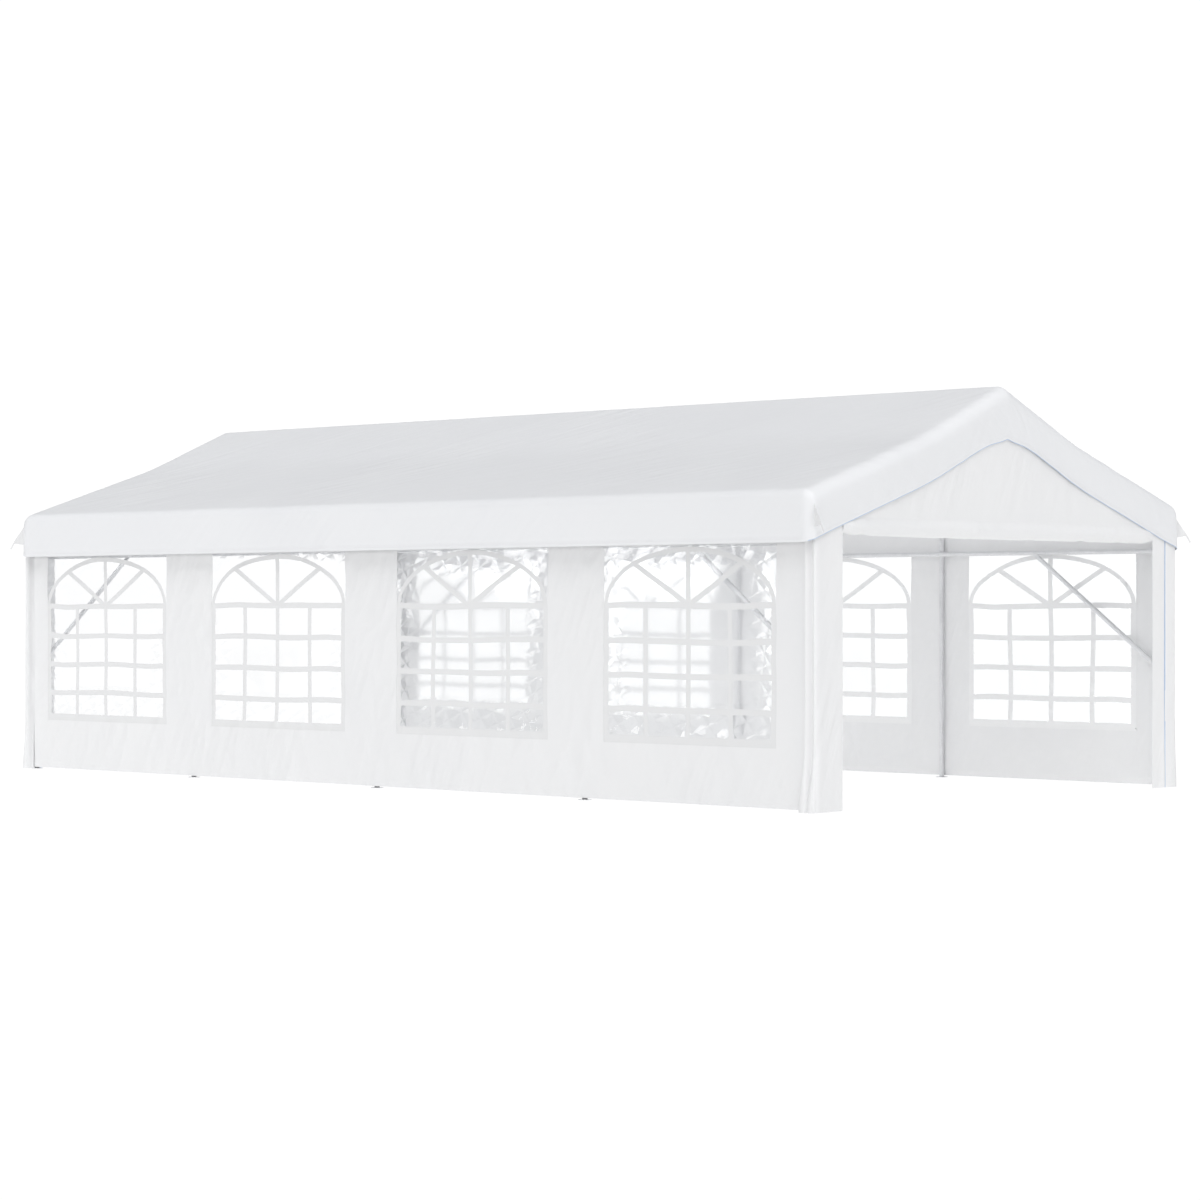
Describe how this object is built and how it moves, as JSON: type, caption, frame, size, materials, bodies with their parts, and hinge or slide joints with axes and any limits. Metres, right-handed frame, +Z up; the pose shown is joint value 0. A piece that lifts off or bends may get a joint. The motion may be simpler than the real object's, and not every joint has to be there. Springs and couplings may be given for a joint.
{
  "type": "marquee tent",
  "caption": "Marquee tent: ridged fabric roof with a valance, window side walls and open gables with rolled-up doors, on a steel tube frame that stands on foot plates.",
  "frame": {"origin": "on the ground at the middle of the footprint", "axes": "+Z up, +Y along the ridge from the front gable to the back one, +X across the tent"},
  "size_m": [4.121, 8.071, 2.705],
  "materials": {
    "roof_fabric": "white coated polyethylene sheeting, semi-gloss",
    "wall_fabric": "white coated polyethylene sheeting, semi-gloss",
    "window_film": "clear soft vinyl with printed light grey bars",
    "steel": "galvanised tube, satin"
  },
  "bodies": {
    "root": {"leg_left_1": "steel", "leg_left_2": "steel", "leg_left_3": "steel", "leg_left_4": "steel", "leg_left_5": "steel", "leg_right_1": "steel", "leg_right_2": "steel", "leg_right_3": "steel", "leg_right_4": "steel", "leg_right_5": "steel", "eave_connector_left_1": "steel", "eave_connector_left_2": "steel", "eave_connector_left_3": "steel", "eave_connector_left_4": "steel", "eave_connector_left_5": "steel", "eave_connector_right_1": "steel", "eave_connector_right_2": "steel", "eave_connector_right_3": "steel", "eave_connector_right_4": "steel", "eave_connector_right_5": "steel", "rafter_pair_1": "steel", "rafter_pair_2": "steel", "rafter_pair_3": "steel", "rafter_pair_4": "steel", "rafter_pair_5": "steel", "ridge_rail": "steel", "eave_rail_left": "steel", "eave_rail_right": "steel", "side_rail_left": "steel", "side_rail_right": "steel", "brace_left_front": "steel", "brace_left_back": "steel", "brace_right_front": "steel", "brace_right_back": "steel", "roof_cover": "roof_fabric", "wall_left_front": "wall_fabric", "wall_left_back": "wall_fabric", "wall_right_front": "wall_fabric", "wall_right_back": "wall_fabric", "gable_wall_front": "wall_fabric", "gable_wall_back": "wall_fabric", "door_roll_front": "wall_fabric", "door_roll_back": "wall_fabric", "window_film_left_front": "window_film", "window_film_left_back": "window_film", "window_film_right_front": "window_film", "window_film_right_back": "window_film"}
  },
  "joints": []
}
